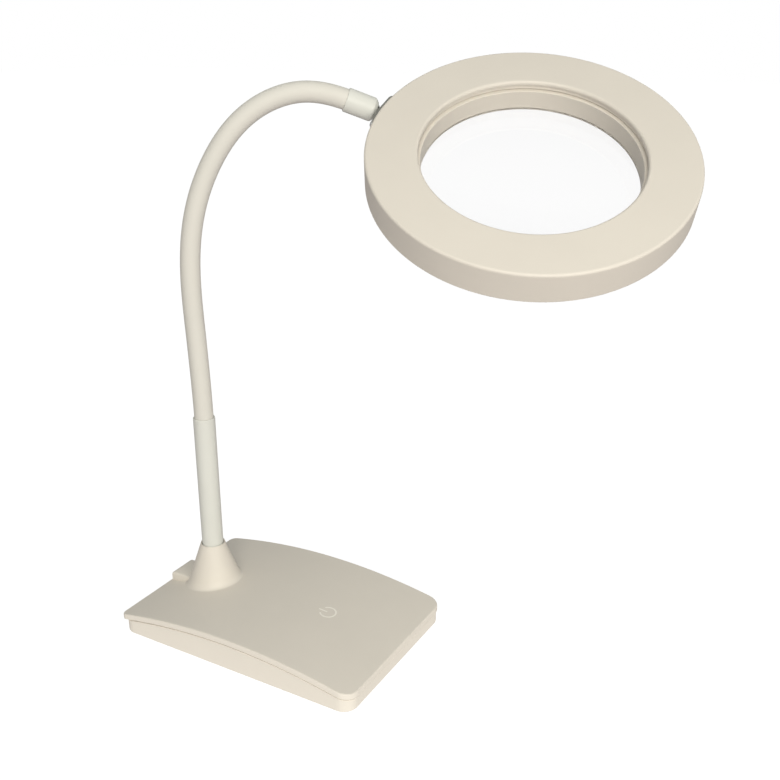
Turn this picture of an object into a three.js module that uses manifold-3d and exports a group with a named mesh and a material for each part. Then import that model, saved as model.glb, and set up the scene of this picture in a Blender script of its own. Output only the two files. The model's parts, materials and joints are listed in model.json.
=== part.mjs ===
// Magnifying desk lamp: a weighted base, a gooseneck and a ring head with a lens and a ring light.
// Millimetres, +Z up. The origin is the centre of the grip pad's underside, where the lamp rests.
// -Y is the front of the base, where the touch switch is, and +Y is the rear, where the neck stands.
import * as THREE from "three";
import { mergeVertices } from "three/addons/utils/BufferGeometryUtils.js";
import Module from "manifold-3d";

const wasm = await Module();
wasm.setup();

// ---- driving dimensions ----------------------------------------------------------------
const GAP = 0.3; // clearance between neighbouring pieces
const BASE_WIDTH = 101;
const BASE_LENGTH = 152;
const FRONT_CORNER = 8; // the top shell's corner radii, seen from above
const REAR_CORNER = 4;
const PAD_PROUD = 0.6; // how far the grip pad lifts the casing
const EDGE_HEIGHT = 10.5 + PAD_PROUD; // top of the base at its front and rear edges
const CROWN_HEIGHT = 18.7 + PAD_PROUD; // top of the base half way along
const LIP = 3.3; // height of the top shell's rim
const SEAM = 0.5; // between that rim and the tray below it
const WALL = 2;
const TRAY_INSET = 0.6; // the tray's walls stand in from the top shell's rim by this much

const NECK_Y = 48.6; // the neck stands here, on the centre line
const BOOT_TOP_Z = 40.3;
const BOOT_TOP_R = 6.9;
const BOOT_FOOT_Z = 13;
const BOOT_FOOT_R = 16.4;
const FERRULE_R = 6.2;
const LOWER_FERRULE_TOP_Z = 118.8;
const SLEEVE_R = 5.45;
const SLEEVE_BORE_R = 4.3;
const CORE_R = 2.5;

const RING_R = 80;
const RING_BORE_R = 54.2;
const RING_HEIGHT = 17;
const BORE_UNDERCUT = 0.4; // below its rounded rim the bore steps back by this much
const LEDGE = 1.1; // and a ledge reaches in past the rim by this much
const LENS_R = 54.1;
const LENS_EDGE = 1.2;
const LENS_SAG = 6;

const BALL_R = 4;
const BALL_OFFSET = 7.2; // from the ring's outer wall to the ball's centre

const CIRCLE = 48; // sides of the head's round pieces
const SMALL_CIRCLE = 16;

// ---- colours ---------------------------------------------------------------------------
const finish = (color, roughness, metalness = 0) =>
  new THREE.MeshStandardMaterial({ color, roughness, metalness });
const warmWhite = finish(0xe2dacb, 0.55);
const sleeveWhite = finish(0xdfdace, 0.75);
const ferruleWhite = finish(0xe0e0d4, 0.5);
const rubber = finish(0x2b2b2b, 0.9);
const steel = finish(0x8f9296, 0.45, 1);
const chrome = finish(0xd8d8d8, 0.12, 1);
const iron = finish(0x55585c, 0.7, 0.8);
const bracketGrey = finish(0x6a6a66, 0.5, 0.4);
const boardGreen = finish(0x2f6b46, 0.6);
const copper = finish(0xb87333, 0.4, 1);
const milky = finish(0xf4f2ec, 0.5);
const glass = finish(0xffffff, 0.02);
const printGrey = finish(0xf6f3ec, 0.6);
const wireRed = finish(0xa03028, 0.6);

// ---- solids ----------------------------------------------------------------------------
// A closed three.js geometry as a solid, and back again.
function solid(geometry) {
  const plain = geometry.clone();
  plain.deleteAttribute("normal");
  plain.deleteAttribute("uv");
  const merged = mergeVertices(plain, 1e-4);
  return new wasm.Manifold(
    new wasm.Mesh({
      numProp: 3,
      vertProperties: new Float32Array(merged.attributes.position.array),
      triVerts: new Uint32Array(merged.index.array),
    }),
  );
}

function geometryOf(made) {
  const mesh = made.getMesh();
  const points = new Float32Array(mesh.numVert * 3);
  for (let i = 0; i < mesh.numVert; i++) {
    const at = i * mesh.numProp;
    points.set(mesh.vertProperties.subarray(at, at + 3), i * 3);
  }
  const geometry = new THREE.BufferGeometry();
  geometry.setAttribute("position", new THREE.BufferAttribute(points, 3));
  geometry.setIndex(new THREE.BufferAttribute(new Uint32Array(mesh.triVerts), 1));
  geometry.computeVertexNormals();
  return geometry;
}

function piece(parent, name, shape, material) {
  const mesh = new THREE.Mesh(shape.isBufferGeometry ? shape : geometryOf(shape), material);
  mesh.name = name;
  parent.add(mesh);
  return mesh;
}

// Centred on the z axis; the corners at the rear, towards +Y, may have their own radius.
function roundedRectangle(width, length, radius, rear = radius) {
  const x = width / 2;
  const y = length / 2;
  const shape = new THREE.Shape();
  shape.moveTo(-x + radius, -y);
  shape.lineTo(x - radius, -y);
  shape.absarc(x - radius, -y + radius, radius, -Math.PI / 2, 0, false);
  shape.lineTo(x, y - rear);
  shape.absarc(x - rear, y - rear, rear, 0, Math.PI / 2, false);
  shape.lineTo(-x + rear, y);
  shape.absarc(-x + rear, y - rear, rear, Math.PI / 2, Math.PI, false);
  shape.lineTo(-x, -y + radius);
  shape.absarc(-x + radius, -y + radius, radius, Math.PI, Math.PI * 1.5, false);
  return shape;
}

// A flat outline, standing from z = low to z = high.
function standing(shape, low, high, curveSegments = 4) {
  const options = { depth: high - low, bevelEnabled: false, curveSegments };
  return new THREE.ExtrudeGeometry(shape, options).translate(0, 0, low);
}

function slab(width, length, radius, low, high, rear = radius) {
  return solid(standing(roundedRectangle(width, length, radius, rear), low, high));
}

function block(x, y, z, width, length, height) {
  return solid(new THREE.BoxGeometry(width, length, height).translate(x, y, z + height / 2));
}

// A round post about the z axis, from z = low to z = high.
function post(x, y, low, high, radius, sides = SMALL_CIRCLE) {
  const geometry = new THREE.CylinderGeometry(radius, radius, high - low, sides);
  return solid(geometry.rotateX(Math.PI / 2).translate(x, y, (low + high) / 2));
}

// A profile of [radius, z] points, listed so that the material is on their left, turned about z.
function turned(profile, sides = CIRCLE) {
  const points = profile.map(([radius, z]) => new THREE.Vector2(radius, z));
  return new THREE.LatheGeometry(points, sides).rotateX(Math.PI / 2);
}

// A flat-ended ring between two radii.
function ring(inner, outer, low, high, sides = CIRCLE) {
  const profile = [
    [inner, low],
    [outer, low],
    [outer, high],
    [inner, high],
    [inner, low],
  ];
  return solid(turned(profile, sides));
}

// ---- the arched top of the base ---------------------------------------------------------
const ARCH_STEPS = 18;

function archHeight(y) {
  const along = (2 * y) / BASE_LENGTH;
  return EDGE_HEIGHT + (CROWN_HEIGHT - EDGE_HEIGHT) * (1 - along * along);
}

// Everything between two depths below the arch, or from a flat floor up to a depth below it.
function underArch(depth, floorDepth, floorZ) {
  const reach = BASE_LENGTH / 2 + 2;
  const top = [];
  const bottom = [];
  for (let i = 0; i <= ARCH_STEPS; i++) {
    const y = -reach + (2 * reach * i) / ARCH_STEPS;
    top.push(new THREE.Vector2(y, archHeight(y) - depth));
    if (floorZ === undefined) bottom.push(new THREE.Vector2(y, archHeight(y) - floorDepth));
  }
  if (floorZ !== undefined) {
    bottom.push(new THREE.Vector2(-reach, floorZ));
    bottom.push(new THREE.Vector2(reach, floorZ));
  }
  const shape = new THREE.Shape([...bottom, ...top.reverse()]);
  const options = { depth: BASE_WIDTH + 20, bevelEnabled: false };
  const geometry = new THREE.ExtrudeGeometry(shape, options);
  geometry.translate(0, 0, -(BASE_WIDTH + 20) / 2);
  geometry.rotateX(Math.PI / 2).rotateZ(Math.PI / 2);
  return solid(geometry);
}

// ---- base ------------------------------------------------------------------------------
const TRAY_LOW = PAD_PROUD;
const TRAY_CORNER = 7.6;
const PAD_TOP = 1.2;
const PAD_WIDTH = 92;
const PAD_LENGTH = 142;
const TRAY_FLOOR_TOP = TRAY_LOW + 2.6;
const WEIGHT_LOW = TRAY_FLOOR_TOP + 0.2;
const WEIGHT_TOP = WEIGHT_LOW + 6.5;
const CASE_SCREWS = [
  [-43.2, -55],
  [43.2, -55],
  [-43.2, 55],
  [43.2, 55],
];
const SWITCH_Y = -30.8;
const PORT_WIDTH = 17;
const PORT_TOP_Z = 17;
const PORT_BEVEL = 2.2; // along its top edge at the rear
const PORT_REAR_Y = BASE_LENGTH / 2 - 1;
const SOCKET_WIDTH = 9.6;
const SOCKET_HEIGHT = 3.8;
const SOCKET_Z = 12.5;
const SOCKET_DEPTH = 7.5;

// The switch's mark: an open ring with a short bar through the opening, which faces the neck.
const MARK_R = 4.4;
const MARK_STROKE = 0.9;
const MARK_OPENING = Math.PI / 5;

function markRing(grow) {
  const outer = MARK_R + MARK_STROKE / 2 + grow;
  const inner = MARK_R - MARK_STROKE / 2 - grow;
  const start = Math.PI / 2 + MARK_OPENING - grow / MARK_R;
  const end = Math.PI / 2 - MARK_OPENING + 2 * Math.PI + grow / MARK_R;
  const shape = new THREE.Shape();
  shape.absarc(0, 0, outer, start, end, false);
  shape.absarc(0, 0, inner, end, start, true);
  return solid(standing(shape, 5, 25, 14)).translate([0, SWITCH_Y, 0]);
}

function markBar(grow) {
  const length = MARK_R + 1;
  const middle = SWITCH_Y + length / 2 + 0.5;
  return block(0, middle, 5, MARK_STROKE + 2 * grow, length + 2 * grow, 20);
}

function buildBootSkin(inset) {
  const slope = (BOOT_FOOT_R - BOOT_TOP_R) / (BOOT_TOP_Z - BOOT_FOOT_Z);
  const foot = BOOT_FOOT_R - inset + slope * (BOOT_FOOT_Z - 5);
  const profile = [
    [0, 5],
    [foot, 5],
    [BOOT_TOP_R - inset, BOOT_TOP_Z],
    [0, BOOT_TOP_Z],
  ];
  return solid(turned(profile, 32)).translate([0, NECK_Y, 0]);
}

// The block behind the boot that the power socket sits in.
function buildPort() {
  const frontY = NECK_Y + 10;
  const low = 6;
  const side = new THREE.Shape();
  side.moveTo(frontY, low);
  side.lineTo(PORT_REAR_Y, low);
  side.lineTo(PORT_REAR_Y, PORT_TOP_Z - PORT_BEVEL);
  side.lineTo(PORT_REAR_Y - PORT_BEVEL / 3, PORT_TOP_Z - PORT_BEVEL / 3);
  side.lineTo(PORT_REAR_Y - PORT_BEVEL, PORT_TOP_Z);
  side.lineTo(frontY, PORT_TOP_Z);
  side.closePath();
  const geometry = new THREE.ExtrudeGeometry(side, { depth: PORT_WIDTH, bevelEnabled: false });
  geometry.translate(0, 0, -PORT_WIDTH / 2);
  return solid(geometry.rotateX(Math.PI / 2).rotateZ(Math.PI / 2));
}

function buildTopShell() {
  const rim = 3.5;
  const outline = slab(BASE_WIDTH, BASE_LENGTH, FRONT_CORNER, 0, 60, REAR_CORNER);
  const inner = slab(BASE_WIDTH - 2 * rim, BASE_LENGTH - 2 * rim, FRONT_CORNER - rim, 0, 60, 1.5);
  const hollow = inner.intersect(underArch(WALL, 0, 0));
  let shell = outline.intersect(underArch(0, LIP)).add(buildBootSkin(0)).add(buildPort());
  shell = shell.subtract(hollow);
  shell = shell.subtract(outline.intersect(underArch(LIP, 0, 0)));
  const bootHollow = buildBootSkin(2.6).intersect(slab(60, 120, 2, 0, BOOT_TOP_Z - 8));
  shell = shell.subtract(bootHollow);
  shell = shell.subtract(post(0, NECK_Y, 0, 50, FERRULE_R + GAP, 24));
  const socketMiddle = PORT_REAR_Y - SOCKET_DEPTH / 2 - 0.3;
  const socketRoom = block(
    0,
    socketMiddle + 0.5,
    SOCKET_Z - SOCKET_HEIGHT / 2 - GAP,
    SOCKET_WIDTH + 2 * GAP,
    SOCKET_DEPTH + 2,
    SOCKET_HEIGHT + 2 * GAP,
  );
  shell = shell.subtract(socketRoom);
  for (const [x, y] of CASE_SCREWS) {
    const boss = post(x, y, TRAY_FLOOR_TOP + 0.2, archHeight(y) - WALL + 0.5, 2.7, 12);
    shell = shell.add(boss).subtract(post(x, y, 0, archHeight(y) - WALL - 1, 1.5, 12));
  }
  const markDepth = underArch(-5, 0.7);
  shell = shell.subtract(markRing(0.15).intersect(markDepth));
  return shell.subtract(markBar(0.15).intersect(markDepth));
}

function buildTray() {
  const width = BASE_WIDTH - 2 * TRAY_INSET;
  const length = BASE_LENGTH - 2 * TRAY_INSET;
  const outer = slab(width, length, TRAY_CORNER, TRAY_LOW, 40);
  const innerCorner = TRAY_CORNER - WALL;
  const inner = slab(width - 2 * WALL, length - 2 * WALL, innerCorner, TRAY_FLOOR_TOP, 41);
  let tray = outer.intersect(underArch(LIP + SEAM, 0, 0)).subtract(inner);
  tray = tray.subtract(slab(PAD_WIDTH + 2 * GAP, PAD_LENGTH + 2 * GAP, 5.3, 0, PAD_TOP + 0.1));
  for (const [x, y] of CASE_SCREWS) {
    tray = tray.subtract(post(x, y, 0, TRAY_FLOOR_TOP + 1, 1.6, 12));
    tray = tray.subtract(post(x, y, 0, 2.5, 2.7, 12));
  }
  return tray;
}

function buildCounterweight() {
  const plate = slab(80, 126, 4, WEIGHT_LOW, WEIGHT_TOP);
  return plate.subtract(post(0, NECK_Y, 0, 20, 4.6, 20));
}

function buildCaseScrew(x, y) {
  const head = post(x, y, 1.4, 2.3, 2.4, 12);
  return head.add(post(x, y, 2.2, archHeight(y) - WALL - 1.4, 1.2, 10));
}

function buildControlBoard() {
  const low = WEIGHT_TOP + 0.5;
  const board = block(0, SWITCH_Y, low, 44, 30, 1.2);
  const chip = block(-8, SWITCH_Y + 4, low + 1, 5, 5, 1.2);
  const driver = block(9, SWITCH_Y + 6, low + 1, 4, 6, 1.3);
  const coil = post(13, SWITCH_Y - 7, low + 1, low + 3.2, 3, 12);
  const plug = block(-15, SWITCH_Y - 8, low + 1, 5, 7, 2.4);
  return board.add(chip).add(driver).add(coil).add(plug);
}

class Helix extends THREE.Curve {
  constructor(radius, low, high, turns) {
    super();
    Object.assign(this, { radius, low, high, turns });
  }

  getPoint(t, target = new THREE.Vector3()) {
    const angle = 2 * Math.PI * this.turns * t;
    const x = this.radius * Math.cos(angle);
    const y = this.radius * Math.sin(angle);
    return target.set(x, y, this.low + (this.high - this.low) * t);
  }
}

function disc(radius, sides) {
  const shape = new THREE.Shape();
  for (let i = 0; i < sides; i++) {
    const angle = (2 * Math.PI * i) / sides;
    const x = radius * Math.cos(angle);
    const y = radius * Math.sin(angle);
    if (i === 0) shape.moveTo(x, y);
    else shape.lineTo(x, y);
  }
  shape.closePath();
  return shape;
}

function alongPath(path, shape, steps) {
  const options = { steps, extrudePath: path, bevelEnabled: false, curveSegments: 1 };
  return new THREE.ExtrudeGeometry(shape, options);
}

function buildInlet() {
  const front = PORT_REAR_Y - SOCKET_DEPTH;
  const middle = front + SOCKET_DEPTH / 2;
  const low = SOCKET_Z - SOCKET_HEIGHT / 2;
  const can = block(0, middle, low, SOCKET_WIDTH, SOCKET_DEPTH, SOCKET_HEIGHT);
  const mouth = block(0, middle + 1, low + 0.4, SOCKET_WIDTH - 0.8, SOCKET_DEPTH, SOCKET_HEIGHT - 0.8);
  const tongue = block(0, middle - 0.5, SOCKET_Z - 0.35, 6.6, SOCKET_DEPTH - 1, 0.7);
  return can.subtract(mouth).add(tongue);
}

function hexagon(radius) {
  return disc(radius, 6);
}

function buildNeckNut() {
  const nut = solid(standing(hexagon(8), WEIGHT_TOP + 1.2, WEIGHT_TOP + 5.2));
  return nut.translate([0, NECK_Y, 0]).subtract(post(0, NECK_Y, 0, 30, 4.5, 20));
}

function buildNeckWasher() {
  const ring = post(0, NECK_Y, WEIGHT_TOP + 0.15, WEIGHT_TOP + 1, 8.5, 20);
  return ring.subtract(post(0, NECK_Y, 0, 30, 4.6, 20));
}

function buildBaseLead() {
  const z = WEIGHT_TOP + 0.8;
  const route = new THREE.CatmullRomCurve3([
    new THREE.Vector3(-24, SWITCH_Y - 8, z),
    new THREE.Vector3(-30, -20, z),
    new THREE.Vector3(-30, 10, z),
    new THREE.Vector3(-25, 40, z),
    new THREE.Vector3(-14, 56, z),
    new THREE.Vector3(-4, 61, z),
  ]);
  return alongPath(route, disc(0.7, 6), 14);
}

function buildBase(lamp) {
  piece(lamp, "base_top_shell", buildTopShell(), warmWhite);
  piece(lamp, "base_tray", buildTray(), warmWhite);
  piece(lamp, "base_grip_pad", slab(PAD_WIDTH, PAD_LENGTH, 5, 0, PAD_TOP), rubber);
  piece(lamp, "base_counterweight", buildCounterweight(), iron);
  CASE_SCREWS.forEach(([x, y], i) => {
    piece(lamp, `case_screw_${i + 1}`, buildCaseScrew(x, y), steel);
  });
  const flush = underArch(0, 0.5);
  piece(lamp, "switch_mark_ring", markRing(0).intersect(flush), printGrey);
  piece(lamp, "switch_mark_bar", markBar(0).intersect(flush), printGrey);
  piece(lamp, "control_board", buildControlBoard(), boardGreen);
  piece(lamp, "touch_plate", post(0, SWITCH_Y, 14.5, 14.8, 8, 20), copper);
  const spring = alongPath(new Helix(2.2, WEIGHT_TOP + 2.3, 14, 3), disc(0.3, 5), 24);
  piece(lamp, "touch_spring", spring.translate(0, SWITCH_Y, 0), steel);
  piece(lamp, "power_inlet", buildInlet(), steel);
  piece(lamp, "neck_nut", buildNeckNut(), steel);
  piece(lamp, "neck_washer", buildNeckWasher(), steel);
  piece(lamp, "base_lead", buildBaseLead(), wireRed);
}

// ---- where the head is ------------------------------------------------------------------
// The head's own frame: the origin is the centre of its top face, +Z is up out of that face, and
// +Y points from the lens to the neck.
const HEAD_CENTRE = new THREE.Vector3(57.02, -115.31, 266.07);
const HEAD_LEAN = 0.574; // radians from level
const HEAD_LEANS_TOWARDS = -2.644; // heading, radians from +X
const NECK_JOINS_AT = 1.648; // heading from the lens to the neck, radians from +X
const BALL_RAISED = 1.35; // above the middle of the ring's height
const BALL_SEAT = new THREE.Vector3(0, RING_R + BALL_OFFSET, BALL_RAISED - RING_HEIGHT / 2);

function headFrame() {
  const up = new THREE.Vector3(
    Math.sin(HEAD_LEAN) * Math.cos(HEAD_LEANS_TOWARDS),
    Math.sin(HEAD_LEAN) * Math.sin(HEAD_LEANS_TOWARDS),
    Math.cos(HEAD_LEAN),
  );
  const toNeck = new THREE.Vector3(Math.cos(NECK_JOINS_AT), Math.sin(NECK_JOINS_AT), 0);
  toNeck.z = -toNeck.dot(up) / up.z;
  toNeck.normalize();
  const across = new THREE.Vector3().crossVectors(toNeck, up);
  const frame = new THREE.Group();
  frame.position.copy(HEAD_CENTRE);
  frame.quaternion.setFromRotationMatrix(new THREE.Matrix4().makeBasis(across, toNeck, up));
  frame.updateMatrix();
  return frame;
}

const head = headFrame();
const ballCentre = BALL_SEAT.clone().applyMatrix4(head.matrix);

// ---- neck ------------------------------------------------------------------------------
// The neck bends in one upright plane, which turns from straight ahead towards the lamp's right.
// A route point is [distance from the neck's foot, height] in that plane.
const NECK_HEADING = new THREE.Vector2(0.5686, -0.8226);
const NECK_ROUTE = [
  [0, LOWER_FERRULE_TOP_Z],
  [-0.6, 154],
  [-1.8, 186],
  [-0.2, 218.5],
  [8.6, 248.3],
  [25, 274.5],
  [47, 288.5],
  [64, 291.3],
  [73, 290.2],
  [81, 287.5],
];
const NECK_JOINTS = 7;
const FIRST_JOINT_AT = 17; // along the sleeve
const JOINT_SPACING = 31;
const SLEEVE_GAP = 3.4; // lets two stretches lean 30 degrees without touching
const CORE_GAP = 1.8;
const UPPER_FERRULE_LENGTH = 16.6;
const FERRULE_CHAMFER = 1.8; // lets the ball joint swing clear of the bracket

function inNeckPlane([reach, z]) {
  return new THREE.Vector3(NECK_HEADING.x * reach, NECK_Y + NECK_HEADING.y * reach, z);
}

const neckCurve = new THREE.CatmullRomCurve3(NECK_ROUTE.map(inNeckPlane));
const neckLength = neckCurve.getLength();

// Part of the neck's centre line, between two lengths along it.
class Stretch extends THREE.Curve {
  constructor(from, to) {
    super();
    this.from = from / neckLength;
    this.to = to / neckLength;
  }

  getPoint(t, target) {
    return neckCurve.getPointAt(this.from + (this.to - this.from) * t, target);
  }
}

function sleeveSection() {
  const shape = disc(SLEEVE_R, 12);
  shape.holes.push(disc(SLEEVE_BORE_R, 12));
  return shape;
}

function buildNeck(lamp) {
  const tail = post(0, NECK_Y, WEIGHT_LOW + 0.4, 22, 4.2, 20);
  const tube = post(0, NECK_Y, 20, LOWER_FERRULE_TOP_Z - GAP, FERRULE_R, 24);
  const bore = post(0, NECK_Y, 0, LOWER_FERRULE_TOP_Z + 1, CORE_R + GAP, 12);
  piece(lamp, "lower_ferrule", tube.add(tail).subtract(bore), ferruleWhite);

  for (let i = 0; i <= NECK_JOINTS; i++) {
    const jointBelow = FIRST_JOINT_AT + JOINT_SPACING * (i - 1);
    const jointAbove = jointBelow + JOINT_SPACING;
    const sleeveFrom = i === 0 ? 0 : jointBelow + SLEEVE_GAP / 2;
    const sleeveTo = i === NECK_JOINTS ? neckLength : jointAbove - SLEEVE_GAP / 2;
    const sleeve = alongPath(new Stretch(sleeveFrom, sleeveTo), sleeveSection(), 3);
    piece(lamp, `sleeve_${i}`, sleeve, sleeveWhite);
    const coreFrom = i === 0 ? 0 : jointBelow + CORE_GAP / 2;
    const coreTo = i === NECK_JOINTS ? neckLength : jointAbove - CORE_GAP / 2;
    const core = alongPath(new Stretch(coreFrom, coreTo), disc(CORE_R, 8), 3);
    piece(lamp, `core_${i}`, core, steel);
  }
}

// The frame at the neck's end: its origin is the neck's tip and +Z runs on to the ball.
function buildNeckEnd(lamp) {
  const end = new THREE.Group();
  const tip = neckCurve.getPointAt(1);
  const outward = ballCentre.clone().sub(tip);
  const ballZ = outward.length();
  end.position.copy(tip);
  end.quaternion.setFromUnitVectors(new THREE.Vector3(0, 0, 1), outward.normalize());
  lamp.add(end);
  const chamferFrom = UPPER_FERRULE_LENGTH - FERRULE_CHAMFER;
  const profile = [
    [0, 0.5],
    [FERRULE_R, 0.5],
    [FERRULE_R, chamferFrom],
    [FERRULE_R - FERRULE_CHAMFER, UPPER_FERRULE_LENGTH],
    [0, UPPER_FERRULE_LENGTH],
  ];
  const tube = solid(turned(profile, 24));
  const ballRoom = solid(new THREE.SphereGeometry(BALL_R + GAP, 16, 10)).translate([0, 0, ballZ]);
  const cupRoom = post(0, 0, ballZ - 7.5, ballZ, BALL_R + GAP, 20);
  piece(end, "upper_ferrule", tube.subtract(ballRoom).subtract(cupRoom), ferruleWhite);
  const cup = post(0, 0, ballZ - 5.5, ballZ - 1.5, BALL_R - 0.1, 20);
  piece(end, "ball_cup", cup.subtract(ballRoom), milky);
  const spring = alongPath(new Helix(2.6, ballZ - 7.1, ballZ - 5.9, 1.8), disc(0.25, 5), 14);
  piece(end, "cup_spring", spring, steel);
}

// ---- head ------------------------------------------------------------------------------
const SKIRT_WALL = 2;
const BORE_RIM = 2.2; // height of the bore's rim above the undercut
const COVER_THICKNESS = 2;
const CHASSIS_TOP = -5.2;
const CHASSIS_BOTTOM = -6.7;
const LENS_FLAT_FACE = -16.4;
const RETAINER_LOW = -17.8;
const LENS_TOP_EDGE = LENS_FLAT_FACE + LENS_EDGE;
const INNER_WALL_R = RING_BORE_R - LEDGE;
const INNER_WALL_OUTER_R = INNER_WALL_R + 1.6;
const INNER_WALL_LOW = LENS_TOP_EDGE + 0.5;
const DIFFUSER_LOW = -16.5;
const DIFFUSER_THICKNESS = 1.2;
const BOARD_SCREW_R = 62.5;
const BOARD_SCREW_ANGLES = [45, 135, 225, 315];
const LED_COUNT = 24;
const LED_RING_R = 69.5;
const BRACKET_INNER_R = RING_R + GAP;
const BRACKET_THICKNESS = 2.4; // at its middle
const BRACKET_END_THICKNESS = 1.5;
const BRACKET_HALF_WIDTH = 12;
const BRACKET_TOP = -2.4;
const BRACKET_BOTTOM = -13.6;
const BRACKET_SCREW_X = 8;
const BRACKET_SCREW_Z = -8.9;

function aroundHead(radius, degrees) {
  const angle = THREE.MathUtils.degToRad(degrees);
  return [radius * Math.cos(angle), radius * Math.sin(angle)];
}

// A round bar lying along the head's own Y axis.
function barAlongY(x, z, fromY, toY, radius, sides = SMALL_CIRCLE) {
  const geometry = new THREE.CylinderGeometry(radius, radius, toY - fromY, sides);
  return solid(geometry.translate(x, (fromY + toY) / 2, z));
}

function buildTopCover() {
  const low = 0.4; // chamfer of the outer wall's lower edge
  const high = 0.9; // and of the two edges of the top face
  const ceiling = -COVER_THICKNESS;
  const skirtR = RING_R - SKIRT_WALL;
  const undercutR = RING_BORE_R + BORE_UNDERCUT;
  const innerSkirtR = undercutR + 1.5;
  const innerSkirtLow = CHASSIS_TOP + GAP;
  const profile = [
    [undercutR, innerSkirtLow],
    [innerSkirtR, innerSkirtLow],
    [innerSkirtR, ceiling],
    [skirtR, ceiling],
    [skirtR, -RING_HEIGHT],
    [RING_R - low, -RING_HEIGHT],
    [RING_R, -RING_HEIGHT + low],
    [RING_R, -high],
    [RING_R - high, 0],
    [RING_BORE_R + high, 0],
    [RING_BORE_R, -high],
    [RING_BORE_R, -BORE_RIM],
    [undercutR, -BORE_RIM],
    [undercutR, innerSkirtLow],
  ];
  let cover = solid(turned(profile));
  for (const angle of BOARD_SCREW_ANGLES) {
    const [x, y] = aroundHead(BOARD_SCREW_R, angle);
    cover = cover.add(post(x, y, CHASSIS_TOP + GAP, ceiling + 0.5, 2.6, 12));
    cover = cover.subtract(post(x, y, CHASSIS_TOP - 1, ceiling - 0.1, 1, 10));
  }
  cover = cover.subtract(barAlongY(0, BALL_SEAT.z, 70, 90, 2, 12));
  for (const side of [-1, 1]) {
    cover = cover.subtract(barAlongY(side * BRACKET_SCREW_X, BRACKET_SCREW_Z, 70, 90, 1.2, 10));
  }
  return cover;
}

function buildChassis() {
  const profile = [
    [INNER_WALL_R, INNER_WALL_LOW],
    [INNER_WALL_OUTER_R, INNER_WALL_LOW],
    [INNER_WALL_OUTER_R, CHASSIS_BOTTOM],
    [RING_R - SKIRT_WALL - 0.4, CHASSIS_BOTTOM],
    [RING_R - SKIRT_WALL - 0.4, CHASSIS_TOP],
    [INNER_WALL_R, CHASSIS_TOP],
    [INNER_WALL_R, INNER_WALL_LOW],
  ];
  let chassis = solid(turned(profile)).subtract(block(0, 78, CHASSIS_BOTTOM - 1, 22, 9, 4));
  for (const angle of BOARD_SCREW_ANGLES) {
    const [x, y] = aroundHead(BOARD_SCREW_R, angle);
    chassis = chassis.subtract(post(x, y, CHASSIS_BOTTOM - 1, CHASSIS_TOP + 1, 1.2, 10));
  }
  return chassis;
}

function buildLedBoard() {
  const boardTop = CHASSIS_BOTTOM - GAP;
  const boardBottom = boardTop - 1.2;
  let board = ring(58.5, 74, boardBottom, boardTop);
  for (let i = 0; i < LED_COUNT; i++) {
    const led = block(LED_RING_R, 0, boardBottom - 0.8, 3, 3, 1);
    board = board.add(led.rotate([0, 0, (360 * (i + 0.5)) / LED_COUNT]));
  }
  for (const angle of BOARD_SCREW_ANGLES) {
    const [x, y] = aroundHead(BOARD_SCREW_R, angle);
    board = board.subtract(post(x, y, boardBottom - 1, boardTop + 1, 1.2, 10));
  }
  return board;
}

function buildBoardScrew(degrees) {
  const [x, y] = aroundHead(BOARD_SCREW_R, degrees);
  const headTop = CHASSIS_BOTTOM - GAP - 1.2 - 0.2;
  const shank = post(x, y, headTop - 0.5, -COVER_THICKNESS - 0.4, 0.8, 8);
  return post(x, y, headTop - 1, headTop, 2, 12).add(shank);
}

// Flat below, and bulging upwards.
function buildLens() {
  const steps = 6;
  const faceRadius = (LENS_R * LENS_R + LENS_SAG * LENS_SAG) / (2 * LENS_SAG);
  const bulge = (r) => Math.sqrt(faceRadius * faceRadius - r * r) - (faceRadius - LENS_SAG);
  const profile = [
    [0, LENS_FLAT_FACE],
    [LENS_R, LENS_FLAT_FACE],
  ];
  for (let i = steps; i >= 0; i--) {
    const r = (LENS_R * i) / steps;
    profile.push([r, LENS_TOP_EDGE + bulge(r)]);
  }
  return solid(turned(profile));
}

// A plate that follows the ring's wall and thins towards its two ends.
function buildBracket() {
  const steps = 8;
  const middleY = BRACKET_INNER_R + BRACKET_THICKNESS;
  const wallY = (x) => Math.sqrt(BRACKET_INNER_R ** 2 - x * x);
  const fall = middleY - wallY(BRACKET_HALF_WIDTH) - BRACKET_END_THICKNESS;
  const outerR = (BRACKET_HALF_WIDTH ** 2 + fall ** 2) / (2 * fall);
  const outerY = (x) => middleY - outerR + Math.sqrt(outerR ** 2 - x * x);
  const inside = [];
  const outside = [];
  for (let i = 0; i <= steps; i++) {
    const x = BRACKET_HALF_WIDTH * ((2 * i) / steps - 1);
    inside.push(new THREE.Vector2(x, wallY(x)));
    outside.push(new THREE.Vector2(x, outerY(x)));
  }
  const outline = new THREE.Shape([...inside, ...outside.reverse()]);
  let bracket = solid(standing(outline, BRACKET_BOTTOM, BRACKET_TOP));
  bracket = bracket.subtract(barAlongY(0, BALL_SEAT.z, 70, 90, 2, 12));
  for (const side of [-1, 1]) {
    bracket = bracket.subtract(barAlongY(side * BRACKET_SCREW_X, BRACKET_SCREW_Z, 70, 90, 1.2, 10));
  }
  return bracket;
}

function buildBallStud() {
  const ball = solid(new THREE.SphereGeometry(BALL_R, 14, 9));
  const placed = ball.translate([0, BALL_SEAT.y, BALL_SEAT.z]);
  return placed.add(barAlongY(0, BALL_SEAT.z, 74.6, BALL_SEAT.y, 1.6, 12));
}

function buildStudNut() {
  const nut = solid(standing(hexagon(3.2), 0, 2.4)).rotate([-90, 0, 0]);
  const placed = nut.translate([0, 75, BALL_SEAT.z]);
  return placed.subtract(barAlongY(0, BALL_SEAT.z, 70, 90, 1.9, 12));
}

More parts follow.
